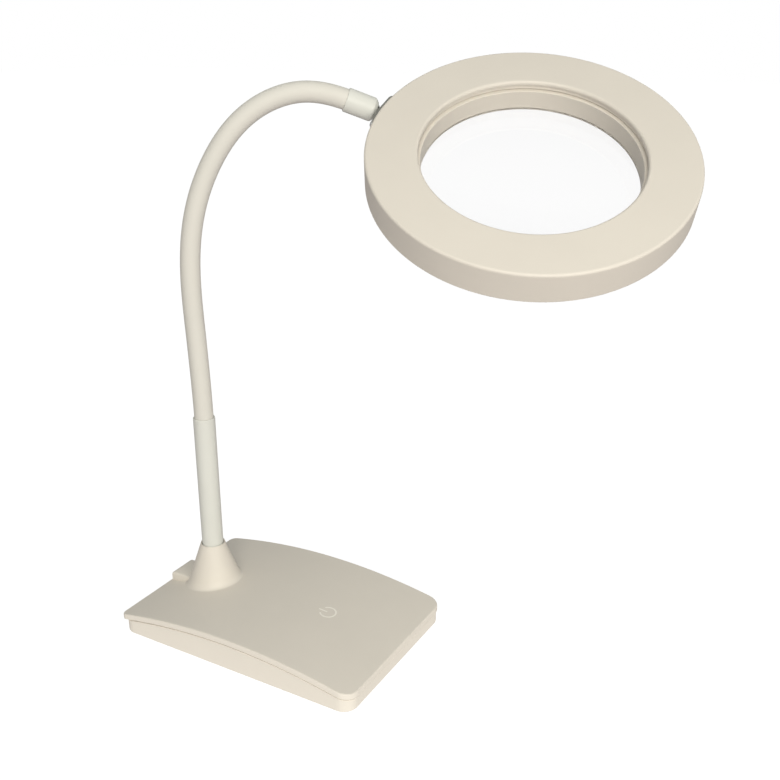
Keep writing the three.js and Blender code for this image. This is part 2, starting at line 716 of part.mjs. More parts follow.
function buildBracketScrew(side) {
  const x = side * BRACKET_SCREW_X;
  const seatY = RING_R + 2.3;
  const screwHead = barAlongY(x, BRACKET_SCREW_Z, seatY, seatY + 1.3, 1.9, 12);
  return screwHead.add(barAlongY(x, BRACKET_SCREW_Z, 76.5, seatY + 0.5, 0.9, 8));
}

function buildHead(lamp) {
  lamp.add(head);
  const retainerTop = LENS_FLAT_FACE - GAP;
  const diffuserTop = DIFFUSER_LOW + DIFFUSER_THICKNESS;
  piece(head, "head_top_cover", buildTopCover(), warmWhite);
  piece(head, "head_chassis", buildChassis(), warmWhite);
  piece(head, "led_board", buildLedBoard(), boardGreen);
  BOARD_SCREW_ANGLES.forEach((angle, i) => {
    piece(head, `board_screw_${i + 1}`, buildBoardScrew(angle), steel);
  });
  const diffuser = ring(INNER_WALL_OUTER_R + 0.4, RING_R - SKIRT_WALL - 0.4, DIFFUSER_LOW, diffuserTop);
  piece(head, "diffuser", diffuser, milky);
  piece(head, "lens", buildLens(), glass);
  const retainer = ring(INNER_WALL_R, INNER_WALL_OUTER_R, RETAINER_LOW, retainerTop);
  piece(head, "lens_retainer", retainer, warmWhite);
  piece(head, "rim_bracket", buildBracket(), bracketGrey);
  piece(head, "ball_stud", buildBallStud(), chrome);
  piece(head, "stud_nut", buildStudNut(), steel);
  piece(head, "bracket_screw_1", buildBracketScrew(-1), chrome);
  piece(head, "bracket_screw_2", buildBracketScrew(1), chrome);
}

// ---- the lamp --------------------------------------------------------------------------
const lamp = new THREE.Group();
buildBase(lamp);
buildNeck(lamp);
buildNeckEnd(lamp);
buildHead(lamp);

export default lamp;
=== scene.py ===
"""The looks of a magnifying desk lamp: moulded casings, a silicone gooseneck and a ring head with a lens."""

import json
import math

import bmesh
import bpy
import numpy as np
from mathutils import Matrix, Vector


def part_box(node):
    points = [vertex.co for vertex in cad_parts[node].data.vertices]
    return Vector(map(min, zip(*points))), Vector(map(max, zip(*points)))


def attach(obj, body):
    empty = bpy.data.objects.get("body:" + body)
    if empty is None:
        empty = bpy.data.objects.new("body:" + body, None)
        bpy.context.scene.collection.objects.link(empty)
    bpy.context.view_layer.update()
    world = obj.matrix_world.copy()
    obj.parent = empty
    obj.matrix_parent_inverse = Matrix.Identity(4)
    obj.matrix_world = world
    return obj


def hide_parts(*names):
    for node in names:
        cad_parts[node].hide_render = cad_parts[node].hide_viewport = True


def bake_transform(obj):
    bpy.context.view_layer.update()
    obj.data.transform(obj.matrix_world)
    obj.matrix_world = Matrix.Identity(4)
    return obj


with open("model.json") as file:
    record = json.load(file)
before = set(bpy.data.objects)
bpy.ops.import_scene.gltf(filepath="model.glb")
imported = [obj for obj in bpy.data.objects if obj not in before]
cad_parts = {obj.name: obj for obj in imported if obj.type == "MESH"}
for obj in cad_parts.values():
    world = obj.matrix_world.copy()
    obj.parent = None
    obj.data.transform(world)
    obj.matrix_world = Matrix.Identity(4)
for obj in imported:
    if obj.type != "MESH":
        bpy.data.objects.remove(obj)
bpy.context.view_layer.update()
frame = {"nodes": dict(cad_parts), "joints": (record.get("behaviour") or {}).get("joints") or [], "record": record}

MM = 0.001
FULL_TURN = 2 * math.pi

# ---- what the frame says ---------------------------------------------------------------
JOINTS = {joint["name"]: joint for joint in frame["joints"]}
NECK_JOINTS = [j for j in frame["joints"] if j["name"].startswith("neck_")]


def points_of(node):
    return np.array([v.co for v in frame["nodes"][node].data.vertices], float)


def extent_along(node, origin, axis):
    """Lowest and highest distance of a node's points along an axis through origin."""
    reach = (points_of(node) - np.array(origin)) @ np.array(axis)
    return reach.min(), reach.max()


def frame_of(origin, x_axis, y_axis, z_axis):
    turn = Matrix((x_axis, y_axis, z_axis)).transposed()
    return Matrix.Translation(origin) @ turn.to_4x4()


def head_frame():
    """The head's own frame: +Z up out of its top face, +Y from the lens to the neck."""
    lens = points_of("lens")
    up = Vector(np.linalg.svd(lens - lens.mean(0))[2][2])
    if up.z < 0:
        up = -up
    tilt = Vector(JOINTS["head_tilt"]["axis"]).normalized()
    to_neck = tilt.cross(up).normalized()
    across = to_neck.cross(up).normalized()
    middle = Vector()
    for axis in (across, to_neck):
        middle += axis * (sum(extent_along("lens", (0, 0, 0), axis)) / 2)
    top = extent_along("head_top_cover", (0, 0, 0), up)[1]
    return frame_of(middle + up * top, across, to_neck, up)


HEAD = head_frame()
LID_LOW, LID_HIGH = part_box("base_top_shell")
TRAY_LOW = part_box("base_tray")[0]
PAD_LOW, PAD_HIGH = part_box("base_grip_pad")
FERRULE_LOW, FERRULE_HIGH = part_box("lower_ferrule")
NECK_FOOT = (FERRULE_LOW + FERRULE_HIGH) / 2
BALL = Vector(JOINTS["head_tilt"]["pos_m"])
END_AXIS = Vector(JOINTS["head_turn"]["axis"]).normalized()
if END_AXIS.z > 0:
    END_AXIS = -END_AXIS
UPPER_LOW, UPPER_HIGH = extent_along("upper_ferrule", BALL, END_AXIS)

# ---- sizes: the CAD part's, but for a wider seam and a slightly thinner neck --------------------
BASE_WIDTH = LID_HIGH.x - LID_LOW.x
BASE_LENGTH = LID_HIGH.y - LID_LOW.y
FRONT_CORNER = 8 * MM
REAR_CORNER = 4 * MM
EDGE_HEIGHT = 11.1 * MM
CROWN_HEIGHT = 19.3 * MM
LIP = 3.3 * MM
SEAM = 1 * MM  # between the rim and the tray, twice the CAD part's, so that it shows as a thin line
WALL = 2 * MM
LID_SKIRT = 3.5 * MM
TRAY_INSET = 0.6 * MM
TRAY_CORNER = 7.6 * MM
TRAY_FLOOR = 3.2 * MM
TONGUE_GAP = 0.2 * MM  # the tray's tongue stands just inside the lid's rim and closes the seam to view
TONGUE_RISE = 0.3 * MM
TONGUE_WALL = 0.8 * MM
BOOT_TOP = LID_HIGH.z
BOOT_TOP_R = 6.9 * MM
BOOT_FOOT_Z = 13 * MM
BOOT_FOOT_R = 16.4 * MM
FERRULE_R = 6.08 * MM
SLEEVE_R = 5.3 * MM
SLEEVE_BORE_R = 4.3 * MM
SWITCH_Y = -30.8 * MM
MARK_R = 4.4 * MM
MARK_STROKE = 0.9 * MM
PORT_HALF_WIDTH = 8.5 * MM
PORT_TOP = 17 * MM
PORT_ROUNDING = 2.2 * MM
PORT_REAR = LID_HIGH.y - 1 * MM
PORT_FRONT = NECK_FOOT.y + 8 * MM
PORT_FOOT = 9.4 * MM  # sunk in the lid, and above the tray's tongue
SOCKET_LOW, SOCKET_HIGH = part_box("power_inlet")
BALL_R = 4 * MM

# ---- finish of the edges ------------------------------------------------------------------
RIM_ROUNDING = 0.7 * MM
SMALL_ROUNDING = 0.25 * MM
SUPPORT = 0.1 * MM  # from a rounding to the next row of points, which keeps the flat beside it flat
BOOT_FILLET = 5 * MM
BOOT_CIRCLES_TO = 20 * MM
CORNER_STEPS = 10
LONG_STEPS = 76
SHORT_STEPS = 50
ROUND = 160  # sides of the head's round pieces


# ---- mesh helpers ------------------------------------------------------------------------
def make_object(name, verts, faces, sharp_above=35):
    mesh = bpy.data.meshes.new(name)
    mesh.from_pydata([tuple(v) for v in verts], [], faces)
    piece = bpy.data.objects.new(name, mesh)
    bpy.context.scene.collection.objects.link(piece)
    work = bmesh.new()
    work.from_mesh(mesh)
    bmesh.ops.remove_doubles(work, verts=work.verts, dist=1e-7)
    bmesh.ops.dissolve_degenerate(work, edges=work.edges, dist=1e-8)
    bmesh.ops.recalc_face_normals(work, faces=work.faces)
    work.to_mesh(mesh)
    work.free()
    smooth(piece, sharp_above)
    return piece


def smooth(piece, sharp_above=35):
    piece.data.shade_smooth()
    piece.data.set_sharp_from_angle(angle=math.radians(sharp_above))


def loft(name, loops, closed=False, matrix=None, sharp_above=35):
    """Skins loops of equally many points. A closed loft joins last to first, others are capped."""
    count = len(loops[0])
    verts = [Vector(point) for loop in loops for point in loop]
    rows = list(range(len(loops)))
    pairs = list(zip(rows, rows[1:]))
    if closed:
        pairs.append((rows[-1], 0))
    faces = []
    for a, b in pairs:
        for i in range(count):
            j = (i + 1) % count
            faces.append((a * count + i, a * count + j, b * count + j, b * count + i))
    if not closed:
        for row in (0, rows[-1]):
            centre = len(verts)
            verts.append(sum((Vector(p) for p in loops[row]), Vector()) / count)
            for i in range(count):
                faces.append((row * count + i, row * count + (i + 1) % count, centre))
    if matrix is not None:
        verts = [matrix @ v for v in verts]
    return make_object(name, verts, faces, sharp_above)


def soft_corners(corners, steps=5):
    """A closed profile's corners, each (radius, height, rounding), as points, with arcs for roundings."""
    points = []
    for i, (r, z, rounding) in enumerate(corners):
        here = Vector((r, z))
        if rounding <= 0:
            points.append(here)
            continue
        before = Vector(corners[i - 1][:2]) - here
        after = Vector(corners[(i + 1) % len(corners)][:2]) - here
        half = before.angle(after) / 2
        reach = rounding / math.tan(half)
        start = before.normalized() * reach
        end = after.normalized() * reach
        middle = (start + end).normalized() * (rounding / math.sin(half))
        turn = (start - middle).angle_signed(end - middle)
        if before.length > 2 * (reach + SUPPORT):
            points.append(here + before.normalized() * (reach + SUPPORT))
        for k in range(steps + 1):
            spin = Matrix.Rotation(-turn * k / steps, 2)
            points.append(here + middle + spin @ (start - middle))
        if after.length > 2 * (reach + SUPPORT):
            points.append(here + after.normalized() * (reach + SUPPORT))
    return points


def in_mm(corners):
    return [tuple(value * MM for value in corner) for corner in corners]


def revolve(name, profile, matrix=None, sides=ROUND, closed=True, sharp_above=35):
    """Turns a profile of (radius, height) about the z axis."""
    angles = [FULL_TURN * i / sides for i in range(sides)]
    loops = [[(r * math.cos(a), r * math.sin(a), z) for a in angles] for r, z in profile]
    return loft(name, loops, closed, matrix, sharp_above)


def rounded_rectangle(width, length, corner, rear=None):
    """A rounded rectangle's points, anticlockwise, always as many; the rear corners may differ."""
    rear = corner if rear is None else rear
    points = []
    half_width, half_length = width / 2, length / 2
    x, y = half_width - corner, half_length - corner
    rear_x, rear_y = half_width - rear, half_length - rear
    sides = (
        ((-x, -half_length), (x, -half_length), (x, -y), corner, -90, SHORT_STEPS),
        ((half_width, -y), (half_width, rear_y), (rear_x, rear_y), rear, 0, LONG_STEPS),
        ((rear_x, half_length), (-rear_x, half_length), (-rear_x, rear_y), rear, 90, SHORT_STEPS),
        ((-half_width, rear_y), (-half_width, -y), (-x, -y), corner, 180, LONG_STEPS),
    )
    for start, end, centre, radius, heading, steps in sides:
        for k in range(steps):
            share = k / steps
            points.append(tuple(s + (e - s) * share for s, e in zip(start, end)))
        for k in range(CORNER_STEPS):
            angle = math.radians(heading + 90 * k / CORNER_STEPS)
            points.append((centre[0] + radius * math.cos(angle), centre[1] + radius * math.sin(angle)))
    return points


def lid_outline(inset):
    front = max(FRONT_CORNER - inset, 1 * MM)
    rear = max(REAR_CORNER - inset, 1 * MM)
    return rounded_rectangle(BASE_WIDTH - 2 * inset, BASE_LENGTH - 2 * inset, front, rear)


def tray_outline(inset):
    """The outline at a distance inside the tray's own walls."""
    width = BASE_WIDTH - 2 * (TRAY_INSET + inset)
    length = BASE_LENGTH - 2 * (TRAY_INSET + inset)
    return rounded_rectangle(width, length, max(TRAY_CORNER - inset, 1 * MM))


def quarter_round(radius, steps=5):
    """Pairs of (inset, drop) round an outside edge, from its flat top to its side."""
    turns = [math.pi / 2 * k / steps for k in range(steps + 1)]
    return [(radius * (1 - math.sin(a)), radius * (1 - math.cos(a))) for a in turns]


def carve(piece, cutter):
    """Takes the cutter's volume out of the piece, and removes the cutter."""
    cut = piece.modifiers.new("cut", "BOOLEAN")
    cut.operation = "DIFFERENCE"
    cut.solver = "EXACT"
    cut.object = cutter
    evaluated = piece.evaluated_get(bpy.context.evaluated_depsgraph_get())
    mesh = bpy.data.meshes.new_from_object(evaluated)
    piece.modifiers.clear()
    piece.data = mesh
    bpy.data.objects.remove(cutter)
    smooth(piece)
    return piece


def rounded_box(name, low, high, rounding, segments=3):
    work = bmesh.new()
    bmesh.ops.create_cube(work, size=1)
    middle = (Vector(low) + Vector(high)) / 2
    size = Vector(high) - Vector(low)
    bmesh.ops.scale(work, vec=size, verts=work.verts)
    bmesh.ops.translate(work, vec=middle, verts=work.verts)
    bmesh.ops.bevel(work, geom=list(work.edges), offset=rounding, segments=segments,
                    profile=0.5, affect="EDGES")
    mesh = bpy.data.meshes.new(name)
    work.to_mesh(mesh)
    work.free()
    piece = bpy.data.objects.new(name, mesh)
    bpy.context.scene.collection.objects.link(piece)
    smooth(piece)
    return piece


# ---- materials -----------------------------------------------------------------------------
class Surface:
    """A node material: a principled shader whose colour, roughness and relief come from noise."""

    def __init__(self, name, metallic=0.0, ior=1.46, **sockets):
        self.material = bpy.data.materials.new(name)
        self.material.use_nodes = True
        self.nodes = self.material.node_tree.nodes
        self.links = self.material.node_tree.links
        self.shader = self.nodes["Principled BSDF"]
        self.shader.inputs["Metallic"].default_value = metallic
        self.shader.inputs["IOR"].default_value = ior
        for socket, value in sockets.items():
            self.shader.inputs[socket.replace("_", " ")].default_value = value
        self.place = self.nodes.new("ShaderNodeTexCoord").outputs["Object"]
        self.normal = None

    def stretched(self, scale):
        mapping = self.nodes.new("ShaderNodeMapping")
        mapping.inputs["Scale"].default_value = scale
        self.links.new(self.place, mapping.inputs["Vector"])
        return mapping.outputs["Vector"]

    def noise(self, size, detail=2.0, place=None):
        """Noise whose blotches are about size metres across."""
        node = self.nodes.new("ShaderNodeTexNoise")
        node.inputs["Scale"].default_value = 1 / size
        node.inputs["Detail"].default_value = detail
        self.links.new(place or self.place, node.inputs["Vector"])
        return node.outputs["Fac"]

    def ramp(self, value, low, high):
        node = self.nodes.new("ShaderNodeMapRange")
        node.inputs["From Min"].default_value = 0.3
        node.inputs["From Max"].default_value = 0.7
        node.inputs["To Min"].default_value = low
        node.inputs["To Max"].default_value = high
        self.links.new(value, node.inputs["Value"])
        return node.outputs["Result"]

    def colour(self, colour, variation, size=0.03):
        mix = self.nodes.new("ShaderNodeMix")
        mix.data_type = "RGBA"
        mix.inputs["A"].default_value = [c * (1 - variation) for c in colour] + [1]
        mix.inputs["B"].default_value = [min(c * (1 + variation), 1) for c in colour] + [1]
        self.links.new(self.ramp(self.noise(size, 4), 0, 1), mix.inputs["Factor"])
        self.links.new(mix.outputs["Result"], self.shader.inputs["Base Color"])

    def roughness(self, low, high, size=0.004, place=None):
        value = self.ramp(self.noise(size, 3, place), low, high)
        self.links.new(value, self.shader.inputs["Roughness"])

    def relief(self, height, depth, strength=1.0):
        bump = self.nodes.new("ShaderNodeBump")
        bump.inputs["Distance"].default_value = depth
        bump.inputs["Strength"].default_value = strength
        self.links.new(height, bump.inputs["Height"])
        if self.normal:
            self.links.new(self.normal, bump.inputs["Normal"])
        self.normal = bump.outputs["Normal"]
        self.links.new(self.normal, self.shader.inputs["Normal"])


def moulded(name, colour, rough, grain, depth, variation=0.012, **sockets):
    """Moulded plastic or rubber: a fine even grain and slight clouding."""
    surface = Surface(name, **sockets)
    surface.colour(colour, variation)
    surface.roughness(rough - 0.05, rough + 0.05)
    surface.relief(surface.noise(grain, 3), depth)
    return surface


def metal(name, colour, rough, brushed=None, **sockets):
    surface = Surface(name, metallic=1.0, **sockets)
    surface.colour(colour, 0.04, 0.006)
    place = surface.stretched(brushed) if brushed else None
    surface.roughness(rough * 0.75, rough * 1.3, 0.0012, place)
    surface.relief(surface.noise(0.0008, 2, place), 0.00001)
    return surface


def build_materials():
    made = {
        "casing": moulded("satin_casing", (0.80, 0.75, 0.68), 0.5, 0.45 * MM, 0.012 * MM),
        "ferrule": moulded("smooth_ferrule", (0.765, 0.77, 0.73), 0.42, 0.6 * MM, 0.006 * MM),
        "sleeve": moulded("silicone_sleeve", (0.76, 0.74, 0.69), 0.62, 0.3 * MM, 0.012 * MM),
        "grip_rubber": moulded("grip_rubber", (0.035, 0.035, 0.034), 0.85, 0.5 * MM, 0.05 * MM, 0.1),
        # The switch mark's pale colour is a painted highlight: it stands for the lit walls of the mark's engraved
        # groove, which has no colour of its own.
        "print": moulded("painted_highlight_mark", (0.99, 0.95, 0.88), 0.5, 0.3 * MM, 0.004 * MM),
        "circuit_board": moulded("solder_mask", (0.05, 0.22, 0.09), 0.35, 1.5 * MM, 0.03 * MM, 0.15),
        "wire": moulded("wire_sheath", (0.45, 0.06, 0.04), 0.45, 0.4 * MM, 0.01 * MM, 0.05),
        "nylon": moulded("nylon", (0.82, 0.81, 0.77), 0.45, 0.5 * MM, 0.01 * MM),
        "milky": moulded("milky_diffuser", (0.9, 0.89, 0.86), 0.45, 0.8 * MM, 0.02 * MM, 0.006),
        "bracket": moulded("bracket_paint", (0.24, 0.24, 0.22), 0.42, 0.5 * MM, 0.02 * MM, 0.08),
        "iron": moulded("painted_iron", (0.12, 0.12, 0.125), 0.6, 1.2 * MM, 0.08 * MM, 0.15),
        "steel": metal("plain_steel", (0.56, 0.57, 0.58), 0.35, brushed=(1, 1, 12)),
        "copper": metal("bare_copper", (0.85, 0.5, 0.34), 0.3),
        "chrome": metal("chrome", (0.86, 0.86, 0.86), 0.08),
    }
    glass = Surface("lens_glass", ior=1.49, Transmission_Weight=1.0)
    glass.shader.inputs["Base Color"].default_value = (1, 1, 1, 1)
    glass.roughness(0.0, 0.012, 0.02)
    made["lens_glass"] = glass
    return {slot: surface.material for slot, surface in made.items()}


MATERIALS = build_materials()
REPLACED = set()  # names of the CAD nodes that a piece stands for


def replace(piece, *nodes):
    if nodes:
        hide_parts(*nodes)
        REPLACED.update(nodes)


def settle(piece, slot, body, *nodes):
    """Gives a piece its finish and the body it rides on, and hides the CAD nodes it stands for."""
    piece.data.materials.append(MATERIALS[slot])
    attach(piece, body)
    replace(piece, *nodes)
    return piece


# ---- base --------------------------------------------------------------------------------
def arch(y):
    along = 2 * y / BASE_LENGTH
    return EDGE_HEIGHT + (CROWN_HEIGHT - EDGE_HEIGHT) * (1 - along * along)


def lid_height(x, y):
    """The arch and the neck's boot, run together with a fillet."""
    slope = (BOOT_TOP - BOOT_FOOT_Z) / (BOOT_FOOT_R - BOOT_TOP_R)
    distance = math.hypot(x - NECK_FOOT.x, y - NECK_FOOT.y)
    boot = BOOT_TOP - (distance - BOOT_TOP_R) * slope
    overlap = max(BOOT_FILLET - abs(arch(y) - boot), 0)
    return max(arch(y), boot) + overlap * overlap / (4 * BOOT_FILLET)


def boot_circle(headings, radius):
    """Points round the neck's foot, one on the line to each of the outline's points."""
    return [(NECK_FOOT.x + radius * math.cos(a), NECK_FOOT.y + radius * math.sin(a)) for a in headings]


def skin(rim_inset, drop):
    """Loops over the lid, from the boot's top out to the rim, at a depth below its surface."""
    rim = lid_outline(rim_inset + SUPPORT)
    headings = [math.atan2(y - NECK_FOOT.y, x - NECK_FOOT.x) for x, y in rim]
    circles = np.arange(BOOT_TOP_R, BOOT_CIRCLES_TO, 0.5 * MM)
    flat = [boot_circle(headings, r) for r in circles]
    inner = boot_circle(headings, BOOT_CIRCLES_TO)
    steps = 36
    for k in range(steps + 1):
        share = k / steps
        flat.append([(ax + (bx - ax) * share, ay + (by - ay) * share)
                     for (ax, ay), (bx, by) in zip(inner, rim)])
    flat.append(lid_outline(rim_inset))
    return [[(x, y, lid_height(x, y) - drop) for x, y in loop] for loop in flat], headings


def build_lid():
    top, headings = skin(RIM_ROUNDING, 0)
    under, _ = skin(LID_SKIRT, WALL)
    loops = list(top)

    def below_arch(inset, drop):
        return [(x, y, arch(y) - drop) for x, y in lid_outline(inset)]

    for inset, drop in quarter_round(RIM_ROUNDING)[1:]:
        loops.append(below_arch(inset, drop))
    loops.append(below_arch(0, RIM_ROUNDING + SUPPORT))
    loops.append(below_arch(0, LIP - SMALL_ROUNDING - SUPPORT))
    for inset, drop in reversed(quarter_round(SMALL_ROUNDING, 3)):
        loops.append(below_arch(inset, LIP - drop))
    loops.append(below_arch(LID_SKIRT, LIP))
    loops += reversed(under)
    hole = BOOT_TOP_R - 0.4 * MM
    for radius, z in ((hole, BOOT_TOP - WALL), (hole, BOOT_TOP - 0.2 * MM), (hole + 0.15 * MM, BOOT_TOP)):
        loops.append([(x, y, z) for x, y in boot_circle(headings, radius)])
    lid = loft("lid", loops, closed=True)
    settle(lid, "casing", "base", "base_top_shell")


def stadium_prism(name, width, height, z, from_y, to_y, x=0.0, steps=10):
    """A bar along y whose section is a flat oval."""
    radius = height / 2
    section = []
    for side, start in ((1, -90), (-1, 90)):
        for k in range(steps + 1):
            angle = math.radians(start + 180 * k / steps)
            section.append((x + side * (width / 2 - radius) + radius * math.cos(angle),
                            z + radius * math.sin(angle)))
    return loft(name, [[(px, y, pz) for px, pz in section] for y in (from_y, to_y)])


def build_housing():
    """A block with a well rounded edge along its top at the rear, and all others a little rounded."""
    low = Vector((-PORT_HALF_WIDTH, PORT_FRONT, PORT_FOOT))
    high = Vector((PORT_HALF_WIDTH, PORT_REAR, PORT_TOP))
    work = bmesh.new()
    bmesh.ops.create_cube(work, size=1)
    bmesh.ops.scale(work, vec=high - low, verts=work.verts)
    bmesh.ops.translate(work, vec=(low + high) / 2, verts=work.verts)
    rear_top = [e for e in work.edges if all(v.co.y > PORT_REAR - SUPPORT and v.co.z > PORT_TOP - SUPPORT
                                             for v in e.verts)]
    bmesh.ops.bevel(work, geom=rear_top, offset=PORT_ROUNDING, segments=7, profile=0.5, affect="EDGES")
    others = [e for e in work.edges if e.calc_face_angle() > 1]
    bmesh.ops.bevel(work, geom=others, offset=0.7 * MM, segments=3, profile=0.5, affect="EDGES")
    mesh = bpy.data.meshes.new("port_housing")
    work.to_mesh(mesh)
    work.free()
    housing = bpy.data.objects.new("port_housing", mesh)
    bpy.context.scene.collection.objects.link(housing)
    smooth(housing)
    return housing


def build_port():
    """The raised housing behind the neck, with the socket in its rear face."""
    housing = build_housing()
    width = SOCKET_HIGH.x - SOCKET_LOW.x
    height = SOCKET_HIGH.z - SOCKET_LOW.z
    z = (SOCKET_HIGH.z + SOCKET_LOW.z) / 2
    room = stadium_prism("room", width + 0.4 * MM, height + 0.4 * MM, z,
                         SOCKET_LOW.y - 0.5 * MM, PORT_REAR + 5 * MM)
    settle(carve(housing, room), "casing", "base")

    shell = stadium_prism("socket_shell", width, height, z, SOCKET_LOW.y, PORT_REAR - 0.3 * MM)
    bore = stadium_prism("bore", width - 0.7 * MM, height - 0.7 * MM, z,
                         SOCKET_LOW.y + 0.6 * MM, PORT_REAR + 5 * MM)
    settle(carve(shell, bore), "steel", "base", "power_inlet")
    tongue_low = (-3.3 * MM, SOCKET_LOW.y + 0.4 * MM, z - 0.35 * MM)
    tongue_high = (3.3 * MM, PORT_REAR - 1.5 * MM, z + 0.35 * MM)
    settle(rounded_box("socket_tongue", tongue_low, tongue_high, 0.15 * MM), "grip_rubber", "base")


def build_tray():
    bottom = TRAY_LOW.z
    recess = PAD_HIGH.z + 0.1 * MM
    pad_inset = (BASE_WIDTH - (PAD_HIGH.x - PAD_LOW.x)) / 2 - TRAY_INSET - 0.3 * MM
    bottom_rounding = 0.5 * MM

    def level(inset, z):
        return [(x, y, z) for x, y in tray_outline(inset)]

    def under_lid(inset, drop):
        return [(x, y, arch(y) - LIP - SEAM - drop) for x, y in tray_outline(inset)]

    loops = [level(pad_inset, recess), level(pad_inset, bottom)]
    loops.append(level(bottom_rounding + SUPPORT, bottom))
    for inset, drop in quarter_round(bottom_rounding):
        loops.append(level(inset, bottom + drop))
    loops.append(level(0, bottom + bottom_rounding + SUPPORT))
    loops.append(under_lid(0, SMALL_ROUNDING + SUPPORT))
    for inset, drop in reversed(quarter_round(SMALL_ROUNDING, 3)):
        loops.append(under_lid(inset, drop))
    tongue = LID_SKIRT - TRAY_INSET + TONGUE_GAP
    loops.append(under_lid(tongue, 0))
    loops.append(under_lid(tongue, -SEAM - TONGUE_RISE))
    loops.append(under_lid(tongue + TONGUE_WALL, -SEAM - TONGUE_RISE))
    loops.append(level(tongue + TONGUE_WALL, TRAY_FLOOR))
    settle(loft("tray", loops), "casing", "base", "base_tray")


def build_pad():
    width = PAD_HIGH.x - PAD_LOW.x
    length = PAD_HIGH.y - PAD_LOW.y
    corner = 5 * MM
    loops = []
    edge = quarter_round(0.4 * MM, 4)
    for inset, drop in edge:
        outline = rounded_rectangle(width - 2 * inset, length - 2 * inset, corner - inset)
        loops.append([(x, y, PAD_LOW.z + drop) for x, y in outline])
    loops.append([(x, y, PAD_HIGH.z) for x, y in rounded_rectangle(width, length, corner)])
    settle(loft("grip_pad", loops), "grip_rubber", "base", "base_grip_pad")


def mark_section(points):
    """Loops of a pale strip that follows the lid, a painted highlight for the lit walls of the engraved mark: each
    point is (inner x, inner y, outer x, outer y).
    """
    proud = 0.03 * MM
    depth = 0.35 * MM
    loops = []
    for ax, ay, bx, by in points:
        loops.append([(ax, ay, arch(ay) - depth), (bx, by, arch(by) - depth),
                      (bx, by, arch(by) + proud), (ax, ay, arch(ay) + proud)])
    return loops


# The switch mark is drawn as pale strips sunk in the lid, a painted highlight standing for the lit walls of its
# engraved groove.
def build_switch_mark():
    opening = 36
    inner = MARK_R - MARK_STROKE / 2
    outer = MARK_R + MARK_STROKE / 2
    arc = []
    steps = 72
    for k in range(steps + 1):
        angle = math.radians(90 + opening + (360 - 2 * opening) * k / steps)
        cos, sin = math.cos(angle), math.sin(angle)
        arc.append((inner * cos, SWITCH_Y + inner * sin, outer * cos, SWITCH_Y + outer * sin))
    settle(loft("switch_ring", mark_section(arc)), "print", "base", "switch_mark_ring")
    low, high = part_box("switch_mark_bar")
    bar = []
    for k in range(7):
        y = low.y + (high.y - low.y) * k / 6
        bar.append((low.x, y, high.x, y))
    settle(loft("switch_bar", mark_section(bar)), "print", "base", "switch_mark_bar")


# ---- neck --------------------------------------------------------------------------------
class Route:
    """A smooth curve through points, by a natural cubic spline over the distance between them."""

    def __init__(self, points):
        self.points = np.array(points, float)
        steps = np.linalg.norm(np.diff(self.points, axis=0), axis=1)
        self.knots = np.concatenate([[0], np.cumsum(steps)])
        count = len(points)
        grid = np.zeros((count, count))
        right = np.zeros((count, 3))
        grid[0, 0] = grid[-1, -1] = 1
        for i in range(1, count - 1):
            before, after = steps[i - 1], steps[i]
            grid[i, i - 1 : i + 2] = before, 2 * (before + after), after
            rise = (self.points[i + 1] - self.points[i]) / after
            right[i] = 6 * (rise - (self.points[i] - self.points[i - 1]) / before)
        self.bend = np.linalg.solve(grid, right)

    def at(self, s):
        i = int(np.clip(np.searchsorted(self.knots, s) - 1, 0, len(self.knots) - 2))
        span = self.knots[i + 1] - self.knots[i]
        b = (s - self.knots[i]) / span
        a = 1 - b
        curve = (a**3 - a) * self.bend[i] + (b**3 - b) * self.bend[i + 1]
        return Vector(a * self.points[i] + b * self.points[i + 1] + curve * span * span / 6)

    def heading(self, s):
        small = 0.05 * MM
        return (self.at(s + small) - self.at(s - small)).normalized()


def build_sleeve():
    """One tube over all the neck's links, cut half way between joints where the cut can't show."""
    foot = Vector((NECK_FOOT.x, NECK_FOOT.y, FERRULE_HIGH.z))
    tip = BALL + END_AXIS * (UPPER_LOW - 0.5 * MM)
    stub = 6 * MM
    joints = [Vector(j["pos_m"]) for j in NECK_JOINTS]
    points = [foot - Vector((0, 0, stub)), foot, *joints, tip, tip + END_AXIS * stub]
    route = Route(points)
    at_joint = route.knots[2:-2]
    cuts = [route.knots[0] + 2 * MM, *((at_joint[1:] + at_joint[:-1]) / 2), route.knots[-1] - 2 * MM]
    plane = (joints[-1] - foot).cross(Vector((0, 0, 1))).normalized()
    sides = 36
    for i, joint in enumerate(NECK_JOINTS):
        start, end = cuts[i], cuts[i + 1]
        hair = 0.03 * MM  # an extra row beside each cut, so that its edge is shaded square
        steps = max(2, round((end - start) / (1.2 * MM)))
        places = [start, start + hair, *np.linspace(start, end, steps + 1)[1:-1], end - hair, end]

        def ring(s, radius):
            heading = route.heading(s)
            out = heading.cross(plane).normalized()
            side = heading.cross(out)
            middle = route.at(s)
            angles = [FULL_TURN * k / sides for k in range(sides)]
            return [middle + (out * math.cos(a) + side * math.sin(a)) * radius for a in angles]

        loops = [ring(s, SLEEVE_R) for s in places] + [ring(s, SLEEVE_BORE_R) for s in reversed(places)]
        piece = loft(f"neck_sleeve_{i + 1}", loops, closed=True)
        piece.data.materials.append(MATERIALS["sleeve"])
        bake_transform(piece)
        nodes = [f"sleeve_{i + 1}"]
        if i == 0:
            nodes.append("sleeve_0")
        replace(piece, *nodes)


